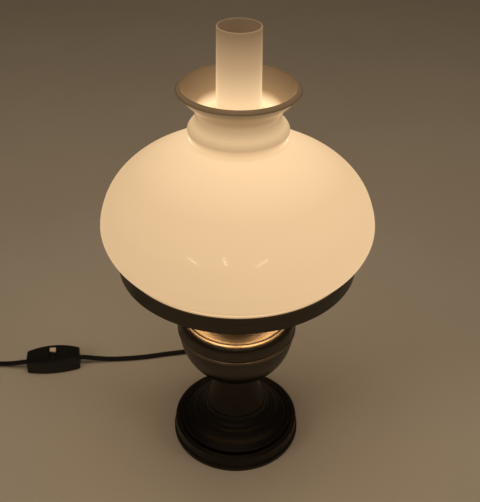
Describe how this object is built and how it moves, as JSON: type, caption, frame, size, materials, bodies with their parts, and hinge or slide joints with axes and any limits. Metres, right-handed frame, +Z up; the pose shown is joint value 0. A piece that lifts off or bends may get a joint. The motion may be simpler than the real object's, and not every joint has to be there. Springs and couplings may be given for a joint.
{
  "type": "electric oil-style table lamp",
  "caption": "Table lamp in oil-lamp form: round foot, flared stem, bowl font, chimney and opal glass shade on a wide ring, with corded rocker switch and plug.",
  "frame": {"origin": "centre of the underside of the foot, on the table", "axes": "+Z up along the lamp's axis, front towards -Y, cord leaves the foot towards +Y and runs off to -X"},
  "size_m": [0.5509, 0.2684, 0.484],
  "materials": {
    "pewter": "brushed pewter, satin, fine circular brushing",
    "dark_pewter": "darkened pewter, satin, fine circular brushing",
    "brass": "satin, lightly tarnished",
    "steel": "plain turned steel",
    "iron": "rough cast",
    "felt": "dense felt",
    "black_plastic": "moulded, slight gloss",
    "black_rubber": "matte flexible PVC",
    "cream_plastic": "cream moulding, slight gloss",
    "white_plastic": "heat-proof moulding",
    "nickel": "nickel-plated",
    "opal_glass": "cased opal glass, glossy, lit from inside",
    "chimney_glass": "acid-frosted, fire-polished lip",
    "bulb_glass": "frosted lamp glass, lit",
    "filament": "glowing tungsten"
  },
  "bodies": {
    "lamp": {"base_foot": "dark_pewter", "base_weight": "iron", "weight_screws": "steel", "base_plate": "steel", "base_pad": "felt", "cord_relief": "black_rubber", "stem": "dark_pewter", "lamp_pipe": "brass", "bottom_nut": "brass", "bottom_washer": "steel", "font_bowl": "pewter", "font_band": "pewter", "font_top": "pewter", "burner_collar": "brass", "collar_nut": "brass", "burner_drum": "brass", "chimney_gallery": "brass", "chimney_prongs": "brass", "lampholder": "white_plastic", "holder_shell": "brass", "holder_contact": "brass", "spider_ring": "pewter", "shade_arm_front": "pewter", "shade_arm_right": "pewter", "shade_arm_left": "pewter", "arm_rivets": "brass", "shade_ring": "pewter", "inner_lead": "black_rubber", "switch_base": "black_plastic", "switch_cover": "black_plastic", "rocker_pin": "steel", "switch_screws": "steel", "switch_terminals": "brass", "contact_blade": "brass", "cord_lamp_side": "black_rubber", "cord_plug_side": "black_rubber", "cord_coil": "black_rubber", "cord_tie": "black_rubber", "cord_tail": "black_rubber", "plug_relief": "black_rubber", "plug_body": "black_plastic", "plug_pins": "nickel"},
    "shade": {"glass_shade": "opal_glass"},
    "chimney": {"chimney": "chimney_glass"},
    "bulb": {"bulb_cap": "nickel", "bulb_tip": "brass", "bulb_glass": "bulb_glass", "bulb_filament": "filament"},
    "rocker": {"switch_rocker": "cream_plastic"}
  },
  "joints": [
    {"name": "shade_lift", "type": "slide", "parent": "lamp", "child": "shade", "axis": [0, 0, 1], "range_m": [0, 0.245]},
    {"name": "chimney_lift", "type": "slide", "parent": "lamp", "child": "chimney", "axis": [0, 0, 1], "range_m": [0, 0.285]},
    {"name": "bulb_draw", "type": "slide", "parent": "lamp", "child": "bulb", "axis": [0, 0, 1], "range_m": [0, 0.295]},
    {"name": "rocker_tilt", "type": "hinge", "parent": "lamp", "child": "rocker", "pos_m": [-0.2345, 0.098, 0.017], "axis": [0.9903, 0.1392, 0], "range_deg": [-30, 0]}
  ]
}
